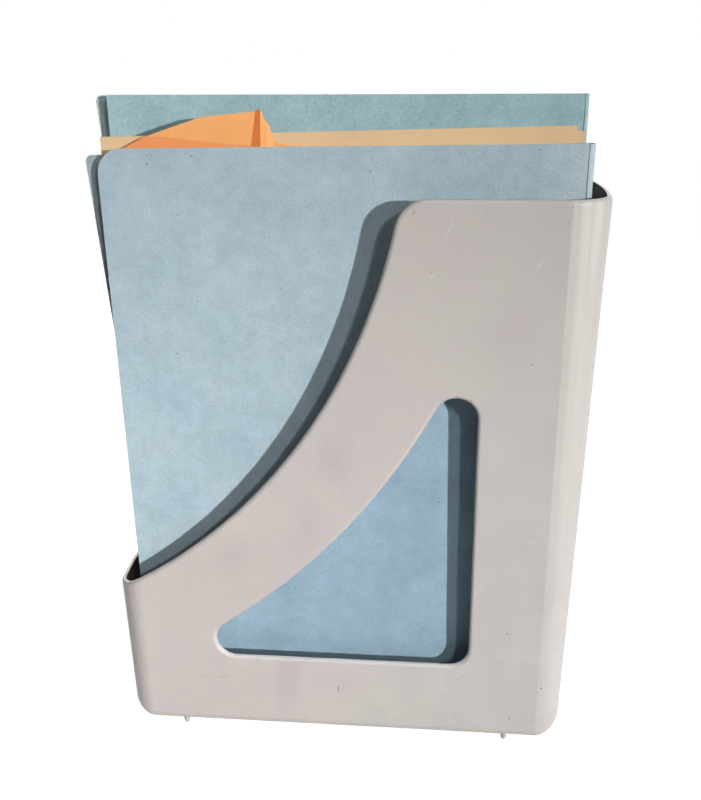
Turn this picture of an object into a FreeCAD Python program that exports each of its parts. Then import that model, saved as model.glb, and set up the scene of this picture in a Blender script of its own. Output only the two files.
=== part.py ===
import FreeCAD, Part
import math
import os
import Sketcher

# A desktop folder holder: one moulded plastic shell with a swooping side, a
# triangular window in each broad wall and four moulded feet. It holds two board
# folders, a manila envelope and an orange sheet, which all stand upright in it.
#
# Frame: +X is towards the tall spine, +Y is away from the front broad wall and
# +Z is up. The origin is on the table, under the middle of the whole object.
# The pieces are drawn about the middle of the mouth and on the underside of the
# shell, and their placements then move them to the frame. "Depth" means the
# distance from the front of the mouth, measured along +Y.

# Driving sizes in millimetres and degrees, each with what it measures.
SIZES = (
    ("shell_height", 286.5, "underside of the shell to the top rim"),
    ("mouth_width", 254.6, "outside width of the mouth, over the bowed ends"),
    ("mouth_depth", 100.0, "outside depth of the mouth"),
    ("draft_angle", 1.26, "lean of all four walls"),
    ("wall", 2.5, "wall and floor thickness"),
    ("mouth_corner_radius", 19.0, "upright corners, at the mouth"),
    ("end_bow_radius", 320.0, "gentle bow of the two end walls, in plan"),
    ("base_round_broad", 5.5, "rounding under the broad walls"),
    ("base_round_end", 12.0, "rounding under the end walls"),
    ("rim_round", 2.0, "rounding of the rim and window edges, outside"),
    ("low_end_height", 85.0, "height of the low end wall"),
    ("low_end_blend_radius", 12.0, "curve from the low rim into the swoop"),
    ("swoop_radius", 282.3, "radius of the swoop"),
    ("swoop_centre_out", 124.9, "swoop centre, outside the low end wall at its rim"),
    ("swoop_centre_rise", 249.6, "swoop centre, above the low rim"),
    ("shoulder_radius", 15.5, "round corner where the swoop meets the top rim"),
    ("window_side_inset", 58.3, "window side, in from the spine end of the mouth"),
    ("window_sill_height", 44.6, "window sill, above the underside"),
    ("strap_width", 66.3, "window arc radius, less the swoop radius"),
    ("strap_centre_back", 10.9, "window arc centre, outside the swoop centre"),
    ("strap_centre_rise", 17.7, "window arc centre, above the swoop centre"),
    ("window_corner_radius", 10.5, "the three corners of the window"),
    ("foot_height", 6.0, "how far the feet stand below the shell"),
    ("foot_root_radius", 2.7, "foot radius at the shell"),
    ("foot_tip_radius", 1.2, "foot radius at the table"),
    ("foot_spacing", 181.0, "between the feet along the broad wall"),
    ("foot_inset", 8.5, "foot centre, in from the broad wall's lower edge"),
    ("board_thickness", 0.8, "folder board"),
    ("front_cover_corner_radius", 12.0, "free corners of the front folder's front cover"),
    ("rear_cover_corner_radius", 1.0, "free corners of the rear folder's front cover"),
    ("low_corner_radius", 12.0, "low free corner of a back cover"),
    ("cover_gap", 0.3, "clearance between two pieces that can part"),
    ("front_folder_depth", 21.0, "front face of the front folder"),
    ("front_folder_height", 298.5, "letter folder, standing on its short side"),
    ("front_folder_play", 0.3, "fold to the end wall, at the base"),
    ("front_folder_spare", 5.4, "free edge to the low end wall, at the base"),
    ("front_folder_pitch", 5.6, "between the two covers of the front folder"),
    ("front_folder_bend", 2.7, "outer radius of the two bends at its fold"),
    ("front_folder_drop", 1.9, "how far the free edge sags below the fold"),
    ("front_folder_spread", 2.0, "how far the free edge leans out at its top"),
    ("front_tab_reach", 7.3, "top of the back cover, past the front cover"),
    ("front_tab_sag", 3.2, "top of that free edge, below the front cover's"),
    ("front_tab_length", 134.0, "slanted free edge of the back cover"),
    ("rear_folder_depth", 47.6, "front face of the rear folder"),
    ("rear_folder_height", 323.5, "taller board folder"),
    ("rear_folder_play", 3.4, "fold to the end wall, at the base"),
    ("rear_folder_spare", 3.9, "free edge to the low end wall, at the base"),
    ("rear_folder_pitch", 7.0, "between the two covers of the rear folder"),
    ("rear_folder_bend", 1.7, "outer radius of the two bends at its fold"),
    ("rear_folder_drop", -0.9, "how far the free edge sags below the fold"),
    ("rear_folder_spread", 0.1, "how far the free edge leans out at its top"),
    ("rear_tab_reach", 8.0, "top of the back cover, past the front cover"),
    ("rear_tab_sag", 0.3, "top of that free edge, below the front cover's"),
    ("rear_tab_length", 120.0, "slanted free edge of the back cover"),
    ("tab_corner_radius", 3.0, "top free corner of a back cover"),
    ("envelope_depth", 33.6, "front face of the manila envelope"),
    ("envelope_play", 5.4, "right side to the end wall, at the base"),
    ("envelope_spare", 2.9, "left side to the low end wall, at the base"),
    ("envelope_height", 307.8, "front panel of the envelope"),
    ("envelope_drop", 2.2, "how far its left side hangs below its right side"),
    ("envelope_thickness", 1.4, "both panels and the pocket between them"),
    ("envelope_panel", 0.45, "one panel of the envelope"),
    ("envelope_lip", 2.2, "how far the rear panel stands above the front one"),
    ("envelope_lip_setback", 3.4, "rear panel's lip, in from the right side"),
    ("envelope_seam", 4.0, "closed side and bottom seams of the envelope"),
    ("sheet_depth", 30.4, "front face of the orange sheet"),
    ("sheet_play", 11.0, "either side to the end wall, at the base"),
    ("sheet_thickness", 0.5, "one layer of the orange sheet"),
    ("sheet_low_edge", 303.0, "top of the sheet where the front folder hides it"),
    ("sheet_peak_height", 323.1, "highest point of the sheet's turned-up corner"),
    ("sheet_peak_offset", 36.9, "highest point, towards the low end"),
    ("sheet_shoulder_height", 319.6, "kink in the turned-up edge"),
    ("sheet_shoulder_offset", 64.5, "kink, towards the low end"),
    ("sheet_heel_offset", 24.8, "where the turned-up corner drops out of sight"),
    ("sheet_fold_length", 58.0, "second layer, folded down behind the top edge"),
)

SLOPE = "tan(Sizes.draft_angle * 1 deg)"
LOW_DROP = "(Sizes.shell_height - Sizes.low_end_height)"
TO_MIDDLE = "-%s * %s / 2" % (SLOPE, LOW_DROP)
SWOOP_OUT = "Sizes.mouth_width / 2 + Sizes.swoop_centre_out - %s * %s" % (SLOPE, LOW_DROP)
SWOOP_UP = "Sizes.low_end_height + Sizes.swoop_centre_rise"
PLAN_EDGES = 8
BASE_CORNER_SPARE = 0.5
SQUARE_TO_WALL = 0.001
ROUND_SHARE = 0.85
TOOL_LENGTH = "Sizes.mouth_depth * 1.5"
VECTOR = FreeCAD.Vector


def make_sizes(doc):
    """Put every driving size in the spreadsheet under its own alias."""
    sheet = doc.addObject("Spreadsheet::Sheet", "Sizes")
    for row, (alias, value, note) in enumerate(SIZES, start=1):
        sheet.set("A%d" % row, alias.replace("_", " "))
        sheet.set("B%d" % row, str(value))
        sheet.set("C%d" % row, note)
        sheet.setAlias("B%d" % row, alias)
    doc.recompute()
    return sheet


class Values:
    """The driving sizes as plain numbers, and what follows from them."""

    def __init__(self, sheet):
        for alias, _value, _note in SIZES:
            setattr(self, alias, float(sheet.get(alias)))
        self.slope = math.tan(math.radians(self.draft_angle))
        self.taper = self.shell_height * self.slope
        low_drop = self.shell_height - self.low_end_height
        self.swoop_x = self.slope * low_drop - self.mouth_width / 2 - self.swoop_centre_out
        self.swoop_z = self.low_end_height + self.swoop_centre_rise

    def plan_at(self, height, inset):
        """Width, depth, corner and bow of the walls at a height, moved in by inset."""
        shrink = self.taper * (1 - height / self.shell_height) + inset
        return (
            self.mouth_width - 2 * shrink,
            self.mouth_depth - 2 * shrink,
            self.mouth_corner_radius - shrink,
            self.end_bow_radius - shrink,
        )

    def base_rounds(self, height, inset):
        """Rounding of the base under the broad and end walls, within its plan corners."""
        most = self.plan_at(height, inset)[2] - BASE_CORNER_SPARE
        return min(self.base_round_broad - inset, most), min(self.base_round_end - inset, most)

    def inner_half_width(self, depth):
        """Half width of the floor of the cavity, in the plane at a depth."""
        width, _depth, _corner, bow = self.plan_at(self.wall, self.wall)
        off_centre = abs(depth - self.mouth_depth / 2)
        return width / 2 - (bow - math.sqrt(bow ** 2 - off_centre ** 2))

    def seat_height(self, half_width, depth):
        """Where a square corner meets the rounded inside of the base."""
        radius = self.base_rounds(self.wall, self.wall)[1]
        past_flat = half_width - (self.inner_half_width(depth) - radius)
        past_flat = max(0, min(past_flat, radius))
        return self.wall + radius - math.sqrt(radius ** 2 - past_flat ** 2)


def origin_plane(body, role):
    for feature in body.Origin.OriginFeatures:
        if feature.Role == role:
            return feature
    raise ValueError("no plane " + role)


def add_sketch(body, name, role):
    sketch = body.newObject("Sketcher::SketchObject", name)
    sketch.AttachmentSupport = (origin_plane(body, role), [""])
    sketch.MapMode = "FlatFace"
    return sketch


def constrain(sketch, kind, *args):
    return sketch.addConstraint(Sketcher.Constraint(kind, *args))


def bound(sketch, name, expression, kind, *args):
    """Add a named dimension that is tied to the sheet."""
    index = constrain(sketch, kind, *args)
    sketch.renameConstraint(index, name)
    sketch.setExpression("Constraints." + name, expression)


def draw_plan(sketch, plan, expressions):
    """A rounded rectangle with gently bowed ends, centred on the origin."""
    width, depth, corner, bow = plan
    bow_centre = width / 2 - bow
    corner_y = depth / 2 - corner
    corner_x = bow_centre + math.sqrt((bow - corner) ** 2 - corner_y ** 2)
    turn = math.atan2(corner_y, corner_x - bow_centre)
    up = VECTOR(0, 0, 1)
    quarter = math.pi / 2

    def line(x_from, y_from, x_to, y_to):
        sketch.addGeometry(Part.LineSegment(VECTOR(x_from, y_from, 0), VECTOR(x_to, y_to, 0)))

    def arc(x, y, radius, start, end):
        circle = Part.Circle(VECTOR(x, y, 0), up, radius)
        sketch.addGeometry(Part.ArcOfCircle(circle, start, end))

    line(-corner_x, -depth / 2, corner_x, -depth / 2)
    arc(corner_x, -corner_y, corner, -quarter, -turn)
    arc(bow_centre, 0, bow, -turn, turn)
    arc(corner_x, corner_y, corner, turn, quarter)
    line(corner_x, depth / 2, -corner_x, depth / 2)
    arc(-corner_x, corner_y, corner, quarter, math.pi - turn)
    arc(-bow_centre, 0, bow, math.pi - turn, math.pi + turn)
    arc(-corner_x, -corner_y, corner, math.pi + turn, 3 * quarter)

    for edge in range(PLAN_EDGES):
        constrain(sketch, "Tangent", edge, 2, (edge + 1) % PLAN_EDGES, 1)
    constrain(sketch, "Horizontal", 0)
    constrain(sketch, "Horizontal", 4)
    for edge in (3, 5, 7):
        constrain(sketch, "Equal", 1, edge)
    constrain(sketch, "Equal", 2, 6)
    constrain(sketch, "PointOnObject", 2, 3, -1)
    constrain(sketch, "PointOnObject", 6, 3, -1)
    width_text, depth_text, corner_text, bow_text = expressions
    bound(sketch, "corner", corner_text, "Radius", 1, corner)
    bound(sketch, "bow", bow_text, "Radius", 2, bow)
    reach_text = "%s - (%s) / 2" % (bow_text, width_text)
    bound(sketch, "right_bow", reach_text, "DistanceX", 2, 3, -1, 1, -bow_centre)
    bound(sketch, "left_bow", reach_text, "DistanceX", -1, 1, 6, 3, -bow_centre)
    bound(sketch, "front", "(%s) / 2" % depth_text, "DistanceY", 0, 1, -1, 1, depth / 2)
    bound(sketch, "back", "(%s) / 2" % depth_text, "DistanceY", -1, 1, 4, 1, depth / 2)


def plan_expressions(height_text, inset_text):
    """The sheet's formulas for the plan of the walls at a height."""
    shrink = "((Sizes.shell_height - (%s)) * %s + (%s))" % (height_text, SLOPE, inset_text)
    return (
        "Sizes.mouth_width - 2 * " + shrink,
        "Sizes.mouth_depth - 2 * " + shrink,
        "Sizes.mouth_corner_radius - " + shrink,
        "Sizes.end_bow_radius - " + shrink,
    )


def lofted_walls(doc, name, values, base_height, inset, texts):
    """A drafted block: the plan at base_height lofted straight to the mouth."""
    base_text, inset_text = texts
    sections = []
    mouth = (values.shell_height, "Sizes.shell_height")
    for part, (height, text) in (("base", (base_height, base_text)), ("mouth", mouth)):
        sketch = doc.addObject("Sketcher::SketchObject", name + "_" + part)
        sketch.setExpression(".Placement.Base.z", text)
        draw_plan(sketch, values.plan_at(height, inset), plan_expressions(text, inset_text))
        sections.append(sketch)
    doc.recompute()
    loft = doc.addObject("Part::Loft", name)
    loft.Sections = sections
    loft.Solid = True
    loft.Ruled = True
    doc.recompute()
    return loft


def base_rounding(shape, height, broad_radius, end_radius):
    """Radii for the bottom edges: small under the broad walls, large under the ends."""
    picked = []
    for number, edge in enumerate(shape.Edges, start=1):
        box = edge.BoundBox
        if abs(box.ZMin - height) > 1e-4 or abs(box.ZMax - height) > 1e-4:
            continue
        start = edge.valueAt(edge.FirstParameter)
        end = edge.valueAt(edge.LastParameter)
        if abs(start.y - end.y) < 1e-6:
            picked.append((number, broad_radius, broad_radius))
        elif abs(start.x - end.x) < 1e-6:
            picked.append((number, end_radius, end_radius))
        elif abs(start.x) > abs(end.x):
            picked.append((number, end_radius, broad_radius))
        else:
            picked.append((number, broad_radius, end_radius))
    return picked


def rounded_walls(doc, name, block, values, height, inset):
    """Round the bottom of a drafted block."""
    broad_radius, end_radius = values.base_rounds(height, inset)
    fillet = doc.addObject("Part::Fillet", name)
    fillet.Base = block
    fillet.Edges = base_rounding(block.Shape, height, broad_radius, end_radius)
    doc.recompute()
    return fillet


def add_arc(sketch, centre, radius, start, end):
    """An arc between two directions, in degrees, anticlockwise."""
    circle = Part.Circle(VECTOR(centre[0], centre[1], 0), VECTOR(0, 0, 1), radius)
    arc = Part.ArcOfCircle(circle, math.radians(start), math.radians(end))
    return sketch.addGeometry(arc)


def add_line(sketch, start, end):
    return sketch.addGeometry(Part.LineSegment(VECTOR(*start, 0), VECTOR(*end, 0)))


def heading(centre, point):
    """Direction from a centre to a point, in degrees."""
    return math.degrees(math.atan2(point[1] - centre[1], point[0] - centre[0]))


def beside(centre, distance, height):
    """The point at a height that is a distance to the right of a centre."""
    return centre[0] + math.sqrt(distance ** 2 - (centre[1] - height) ** 2), height


def swoop_tool(doc, values):
    """What is cut away above the swoop, as one thick plate through both broad walls."""
    swoop = (values.swoop_x, values.swoop_z)
    reach = values.swoop_radius - values.low_end_blend_radius
    blend = beside(swoop, reach, values.low_end_height + values.low_end_blend_radius)
    span = values.swoop_radius + values.shoulder_radius
    shoulder = beside(swoop, span, values.shell_height - values.shoulder_radius)
    outside = values.mouth_width
    top = values.shell_height + values.wall

    body = doc.addObject("PartDesign::Body", "swoop_tool")
    sketch = add_sketch(body, "swoop_outline", "XZ_Plane")
    low = add_line(sketch, (-outside, values.low_end_height), (blend[0], values.low_end_height))
    bend = heading(swoop, blend)
    first = add_arc(sketch, blend, values.low_end_blend_radius, -90, bend)
    turn = heading(swoop, shoulder)
    curve = add_arc(sketch, swoop, values.swoop_radius, bend, turn)
    crest = add_arc(sketch, shoulder, values.shoulder_radius, 90, 180 + turn)
    right = add_line(sketch, (shoulder[0], values.shell_height), (shoulder[0], top))
    upper = add_line(sketch, (shoulder[0], top), (-outside, top))
    left = add_line(sketch, (-outside, top), (-outside, values.low_end_height))
    constrain(sketch, "Horizontal", low)
    constrain(sketch, "Tangent", low, 2, first, 1)
    constrain(sketch, "Tangent", first, 2, curve, 1)
    constrain(sketch, "Tangent", curve, 2, crest, 2)
    constrain(sketch, "Vertical", crest, 1, crest, 3)
    constrain(sketch, "Coincident", crest, 1, right, 1)
    constrain(sketch, "Vertical", right)
    constrain(sketch, "Coincident", right, 2, upper, 1)
    constrain(sketch, "Horizontal", upper)
    constrain(sketch, "Coincident", upper, 2, left, 1)
    constrain(sketch, "Vertical", left)
    constrain(sketch, "Coincident", left, 2, low, 1)
    bound(sketch, "outside", "Sizes.mouth_width", "DistanceX", low, 1, -1, 1, outside)
    bound(sketch, "low_rim", "Sizes.low_end_height", "DistanceY", -1, 1, low, 1, values.low_end_height)
    bound(sketch, "blend", "Sizes.low_end_blend_radius", "Radius", first, values.low_end_blend_radius)
    bound(sketch, "swoop", "Sizes.swoop_radius", "Radius", curve, values.swoop_radius)
    bound(sketch, "shoulder", "Sizes.shoulder_radius", "Radius", crest, values.shoulder_radius)
    bound(sketch, "swoop_out", SWOOP_OUT, "DistanceX", curve, 3, -1, 1, -swoop[0])
    bound(sketch, "swoop_up", SWOOP_UP, "DistanceY", -1, 1, curve, 3, swoop[1])
    bound(sketch, "rim", "Sizes.shell_height", "DistanceY", -1, 1, crest, 1, values.shell_height)
    bound(sketch, "top", "Sizes.shell_height + Sizes.wall", "DistanceY", -1, 1, upper, 1, top)
    pad_through(doc, body, sketch)
    return body


def window_tool(doc, values):
    """The triangular window: a sill, an upright side and an arc beside the swoop."""
    side_x = values.mouth_width / 2 - values.window_side_inset
    sill_z = values.window_sill_height
    corner = values.window_corner_radius
    arc_x = values.swoop_x - values.strap_centre_back
    arc_z = values.swoop_z + values.strap_centre_rise
    arc_radius = values.swoop_radius + values.strap_width
    centre = (arc_x, arc_z)
    span = arc_radius + corner
    low_z = sill_z + corner
    left = beside(centre, span, low_z)
    right = (side_x - corner, low_z)
    apex_x = side_x - corner
    apex = (apex_x, arc_z - math.sqrt(span ** 2 - (apex_x - arc_x) ** 2))
    to_left = heading(centre, left)
    to_apex = heading(centre, apex)

    body = doc.addObject("PartDesign::Body", "window_tool")
    sketch = add_sketch(body, "window_outline", "XZ_Plane")
    sill = add_line(sketch, (left[0], sill_z), (right[0], sill_z))
    corner_right = add_arc(sketch, right, corner, -90, 0)
    side = add_line(sketch, (side_x, low_z), (side_x, apex[1]))
    corner_top = add_arc(sketch, apex, corner, 0, 180 + to_apex)
    strap = add_arc(sketch, centre, arc_radius, to_left, to_apex)
    corner_left = add_arc(sketch, left, corner, 180 + to_left, 270)
    constrain(sketch, "Horizontal", sill)
    constrain(sketch, "Vertical", side)
    constrain(sketch, "Tangent", sill, 2, corner_right, 1)
    constrain(sketch, "Tangent", corner_right, 2, side, 1)
    constrain(sketch, "Tangent", side, 2, corner_top, 1)
    constrain(sketch, "Tangent", corner_top, 2, strap, 2)
    constrain(sketch, "Tangent", strap, 1, corner_left, 1)
    constrain(sketch, "Tangent", corner_left, 2, sill, 1)
    constrain(sketch, "Equal", corner_right, corner_top)
    constrain(sketch, "Equal", corner_right, corner_left)
    bound(sketch, "corner", "Sizes.window_corner_radius", "Radius", corner_right, corner)
    bound(sketch, "strap", "Sizes.swoop_radius + Sizes.strap_width", "Radius", strap, arc_radius)
    out_text = SWOOP_OUT + " + Sizes.strap_centre_back"
    up_text = SWOOP_UP + " + Sizes.strap_centre_rise"
    bound(sketch, "strap_out", out_text, "DistanceX", strap, 3, -1, 1, -arc_x)
    bound(sketch, "strap_up", up_text, "DistanceY", -1, 1, strap, 3, arc_z)
    bound(
        sketch, "side", "Sizes.mouth_width / 2 - Sizes.window_side_inset",
        "DistanceX", -1, 1, side, 1, side_x,
    )
    bound(sketch, "sill", "Sizes.window_sill_height", "DistanceY", -1, 1, sill, 1, sill_z)
    pad_through(doc, body, sketch)
    return body


def pad_through(doc, body, sketch):
    """Pad an outline both ways, well past both broad walls."""
    doc.recompute()
    pad = body.newObject("PartDesign::Pad", body.Name + "_pad")
    pad.Profile = sketch
    pad.Midplane = True
    pad.setExpression("Length", TOOL_LENGTH)
    doc.recompute()


def boolean(doc, kind, name, base, tool):
    result = doc.addObject("Part::" + kind, name)
    result.Base = base
    result.Tool = tool
    doc.recompute()
    return result


def rim_edges(shape, values):
    """The outer edges of the cut rim and of the windows, rounded within the wall."""
    radius = min(values.rim_round, ROUND_SHARE * values.wall)
    picked = []
    for number, edge in enumerate(shape.Edges, start=1):
        faces = shape.ancestorsOfType(edge, Part.Face)
        walls = [face for face in faces if not is_rim_face(face, values)]
        if len(faces) - len(walls) == 1 and faces_out(walls[0]):
            picked.append((number, radius, radius))
    return picked


def is_rim_face(face, values):
    """A rim face is a strip along the wall, square to the wall's two faces."""
    middle = face.valueAt(*midpoint(face))
    normal = face.normalAt(*midpoint(face))
    if abs(middle.y) > values.mouth_depth / 2 - values.mouth_corner_radius:
        return abs(normal.y) < SQUARE_TO_WALL
    above_floor = middle.z > values.base_round_end
    return above_floor and abs(normal.z) > 1 - SQUARE_TO_WALL


def faces_out(face):
    """Whether a wall's face looks away from the middle of the shell."""
    middle = face.valueAt(*midpoint(face))
    normal = face.normalAt(*midpoint(face))
    return middle.x * normal.x + middle.y * normal.y > 0


def midpoint(face):
    low_u, high_u, low_v, high_v = face.ParameterRange
    return (low_u + high_u) / 2, (low_v + high_v) / 2


def moulded_feet(doc, values):
    """Four small tapered pegs under the base."""
    feet = []
    base_edge = "(Sizes.mouth_depth / 2 - Sizes.shell_height * %s" % SLOPE
    for side_name, side in (("left", -1), ("right", 1)):
        for row_name, row in (("front", -1), ("back", 1)):
            foot = doc.addObject("Part::Cone", "foot_%s_%s" % (row_name, side_name))
            foot.setExpression("Radius1", "Sizes.foot_tip_radius")
            foot.setExpression("Radius2", "Sizes.foot_root_radius")
            foot.setExpression("Height", "Sizes.foot_height + Sizes.wall / 2")
            foot.setExpression(".Placement.Base.x", "%d * Sizes.foot_spacing / 2" % side)
            foot.setExpression(".Placement.Base.y", "%d * %s - Sizes.foot_inset)" % (row, base_edge))
            foot.setExpression(".Placement.Base.z", "-Sizes.foot_height")
            feet.append(foot)
    doc.recompute()
    return feet


def make_shell(doc, values):
    """The moulded shell: drafted walls, hollowed, cut to the swoop and windowed."""
    outer = lofted_walls(doc, "outer_walls", values, 0, 0, ("0", "0"))
    outer = rounded_walls(doc, "outer_rounded", outer, values, 0, 0)
    inner = lofted_walls(
        doc, "cavity", values, values.wall, values.wall, ("Sizes.wall", "Sizes.wall")
    )
    inner = rounded_walls(doc, "cavity_rounded", inner, values, values.wall, values.wall)
    hollow = boolean(doc, "Cut", "hollow_walls", outer, inner)
    swooped = boolean(doc, "Cut", "swooped_walls", hollow, swoop_tool(doc, values))
    windowed = boolean(doc, "Cut", "windowed_walls", swooped, window_tool(doc, values))
    rims = doc.addObject("Part::Fillet", "rounded_rims")
    rims.Base = windowed
    rims.Edges = rim_edges(windowed.Shape, values)
    doc.recompute()
    shell = doc.addObject("Part::MultiFuse", "holder_shell")
    shell.Shapes = [rims] + moulded_feet(doc, values)
    shell.setExpression(".Placement.Base.x", TO_MIDDLE)
    shell.setExpression(".Placement.Base.z", "Sizes.foot_height")
    doc.recompute()
    return shell


def draw_outline(sketch, corners):
    """A closed outline through named corners, each (name, x, z, radius) as formulas.

    A radius of None leaves the corner sharp. Every corner is a construction point
    that both of its lines pass through, so it keeps its place when it is rounded.
    """
    count = len(corners)
    places = [(evaluate(sketch, x), evaluate(sketch, z)) for _name, x, z, _radius in corners]
    radii = [0 if corner[3] is None else evaluate(sketch, corner[3]) for corner in corners]
    trims = [corner_trim(places, radii, index) for index in range(count)]
    lines = []
    for index in range(count):
        follow = (index + 1) % count
        start = shifted(places[index], places[follow], trims[index])
        end = shifted(places[follow], places[index], trims[follow])
        lines.append(add_line(sketch, start, end))
    for index, (name, x_text, z_text, radius_text) in enumerate(corners):
        before = lines[index - 1]
        after = lines[index]
        point = sketch.addGeometry(Part.Point(VECTOR(*places[index], 0)), True)
        x_value, z_value = places[index]
        bound(sketch, name + "_x", x_text, "DistanceX", -1, 1, point, 1, x_value)
        bound(sketch, name + "_z", z_text, "DistanceY", -1, 1, point, 1, z_value)
        if radius_text is None:
            constrain(sketch, "Coincident", before, 2, point, 1)
            constrain(sketch, "Coincident", after, 1, point, 1)
            continue
        arc = corner_arc(sketch, places, radii[index], trims[index], index)
        constrain(sketch, "PointOnObject", point, 1, before)
        constrain(sketch, "PointOnObject", point, 1, after)
        constrain(sketch, "Tangent", before, 2, arc, 1)
        constrain(sketch, "Tangent", arc, 2, after, 1)
        bound(sketch, name + "_radius", radius_text, "Radius", arc, radii[index])


def evaluate(sketch, text):
    """The present value of a formula, as a plain number."""
    value = sketch.evalExpression(text)
    return float(getattr(value, "Value", value))


def shifted(point, towards, distance):
    """A point moved a distance towards another."""
    length = math.hypot(towards[0] - point[0], towards[1] - point[1])
    share = distance / length
    return (
        point[0] + (towards[0] - point[0]) * share,
        point[1] + (towards[1] - point[1]) * share,
    )


def corner_trim(places, radii, index):
    """How much of each line a rounded corner takes."""
    if radii[index] == 0:
        return 0
    turn = turn_at(places, index)
    return radii[index] * math.tan(turn / 2)


def turn_at(places, index):
    """How far an anticlockwise outline turns at a corner, in radians."""
    before = places[index - 1]
    here = places[index]
    after = places[(index + 1) % len(places)]
    arriving = math.atan2(here[1] - before[1], here[0] - before[0])
    leaving = math.atan2(after[1] - here[1], after[0] - here[0])
    return (leaving - arriving) % (2 * math.pi)


def corner_arc(sketch, places, radius, trim, index):
    """The arc of a rounded corner of an anticlockwise outline."""
    before = places[index - 1]
    here = places[index]
    after = places[(index + 1) % len(places)]
    start = shifted(here, before, trim)
    arriving = math.atan2(here[1] - before[1], here[0] - before[0])
    leaving = math.atan2(after[1] - here[1], after[0] - here[0])
    centre = (start[0] - radius * math.sin(arriving), start[1] + radius * math.cos(arriving))
    start_way = math.degrees(arriving) - 90
    end_way = math.degrees(leaving) - 90
    return add_arc(sketch, centre, radius, start_way, end_way)


def flat_piece(doc, name, corners, thickness_text, depth_text):
    """A flat upright piece: an outline in the XZ plane, given a thickness along +Y."""
    body = doc.addObject("PartDesign::Body", name)
    add_layer(doc, body, name + "_layer", corners, thickness_text)
    place_at_depth(body, depth_text)
    return body


def add_layer(doc, body, name, corners, thickness_text, offset_text="0"):
    """Pad an outline away from the front, starting at an offset behind the body's face."""
    sketch = add_sketch(body, name + "_outline", "XZ_Plane")
    sketch.setExpression(".AttachmentOffset.Base.z", "-(%s)" % offset_text)
    draw_outline(sketch, corners)
    doc.recompute()
    pad = body.newObject("PartDesign::Pad", name)
    pad.Profile = sketch
    pad.Reversed = True
    pad.setExpression("Length", thickness_text)
    doc.recompute()
    return pad


def place_at_depth(body, depth_text):
    body.setExpression(".Placement.Base.x", TO_MIDDLE)
    body.setExpression(".Placement.Base.y", "%s - Sizes.mouth_depth / 2" % depth_text)
    body.setExpression(".Placement.Base.z", "Sizes.foot_height")


def derived_sheet(doc, name, derived):
    """A small sheet for places that follow from the driving sizes."""
    sheet = doc.addObject("Spreadsheet::Sheet", name)
    for row, (alias, value) in enumerate(derived, start=1):
        sheet.set("A%d" % row, alias.replace("_", " "))
        sheet.set("B%d" % row, repr(value))
        sheet.setAlias("B%d" % row, alias)
    doc.recompute()


def folder_places(doc, name, values, prefix):
    """Where a folder's fold, free edge and seat lie."""
    depth = getattr(values, prefix + "_folder_depth")
    pitch = getattr(values, prefix + "_folder_pitch")
    room = min(values.inner_half_width(depth), values.inner_half_width(depth + pitch))
    fold = room - getattr(values, prefix + "_folder_play")
    free_edge = getattr(values, prefix + "_folder_spare") - room
    seat = values.seat_height(fold, depth) + values.cover_gap
    derived_sheet(doc, name, (("fold", fold), ("free_edge", free_edge), ("seat", seat)))


def make_folder(doc, values, prefix):
    """A board folder on its short side: two covers and the fold strip between them."""
    place = prefix.capitalize() + "Folder"
    folder_places(doc, place, values, prefix)
    size = "Sizes.%s_folder_" % prefix
    tab = "Sizes.%s_tab_" % prefix
    edge = "%s.fold - %sbend" % (place, size)
    left = "%s.free_edge" % place
    seat = "%s.seat" % place
    top = "%s.seat + %sheight" % (place, size)
    free_radius = "Sizes.%s_cover_corner_radius" % prefix

    front = flat_piece(
        doc, prefix + "_folder_front_cover",
        (
            ("low_left", "%s + Sizes.cover_gap" % left, "%s - %sdrop" % (seat, size), free_radius),
            ("low_right", "%s - Sizes.cover_gap" % edge, seat, None),
            ("top_right", "%s - Sizes.cover_gap" % edge, top, None),
            ("top_left", "%s - %sspread" % (left, size), "%s - %sdrop" % (top, size), free_radius),
        ),
        "Sizes.board_thickness", size + "depth",
    )
    back = flat_piece(
        doc, prefix + "_folder_back_cover",
        (
            ("low_left", left, "%s - %sdrop" % (seat, size), "Sizes.low_corner_radius"),
            ("low_right", edge, seat, None),
            ("top_right", edge, top, None),
            (
                "top_left", "%s - %sspread - %sreach" % (left, size, tab),
                "%s - %sdrop - %ssag" % (top, size, tab), "Sizes.tab_corner_radius",
            ),
            ("tab_foot", left, "%s - %sdrop - %slength" % (top, size, tab), None),
        ),
        "Sizes.board_thickness", "%sdepth + %spitch" % (size, size),
    )
    strip = fold_strip(doc, prefix, place, size)
    return [front, back, strip]


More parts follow.
